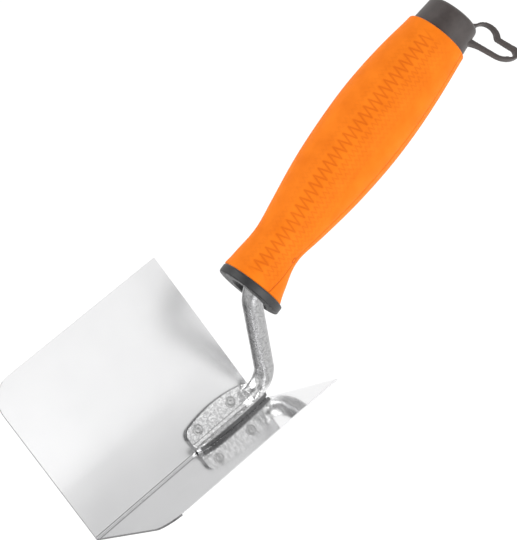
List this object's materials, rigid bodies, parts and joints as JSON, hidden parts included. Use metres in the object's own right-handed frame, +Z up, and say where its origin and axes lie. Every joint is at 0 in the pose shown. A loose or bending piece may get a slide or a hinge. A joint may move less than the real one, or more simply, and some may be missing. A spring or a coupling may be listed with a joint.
{
  "type": "inside corner trowel",
  "caption": "Inside corner trowel for plaster and filler: folded stainless blade, riveted steel gooseneck tang, soft-grip handle with a hanging loop.",
  "frame": {"origin": "toe end of the outer corner line, where the two working faces meet", "axes": "+X along the corner line towards the handle, +Y towards the left wing's free edge, +Z up along the line that halves the angle between the wings"},
  "size_m": [0.2045, 0.0904, 0.1105],
  "materials": {
    "stainless": "fine polished sheet, soft reflections",
    "zinc_steel": "satin zinc plate over a slightly rough forging",
    "rivet_steel": "satin",
    "black_plastic": "hard satin moulding",
    "core_plastic": "hard moulding",
    "orange_rubber": "soft matte overmould with a fine raised pattern"
  },
  "bodies": {
    "root": {"blade": "stainless", "tang": "zinc_steel", "rivet_left_toe": "rivet_steel", "rivet_left_heel": "rivet_steel", "rivet_right_toe": "rivet_steel", "rivet_right_heel": "rivet_steel", "front_collar": "black_plastic", "handle_core": "core_plastic", "grip_sleeve": "orange_rubber", "end_cap": "black_plastic"}
  },
  "joints": []
}
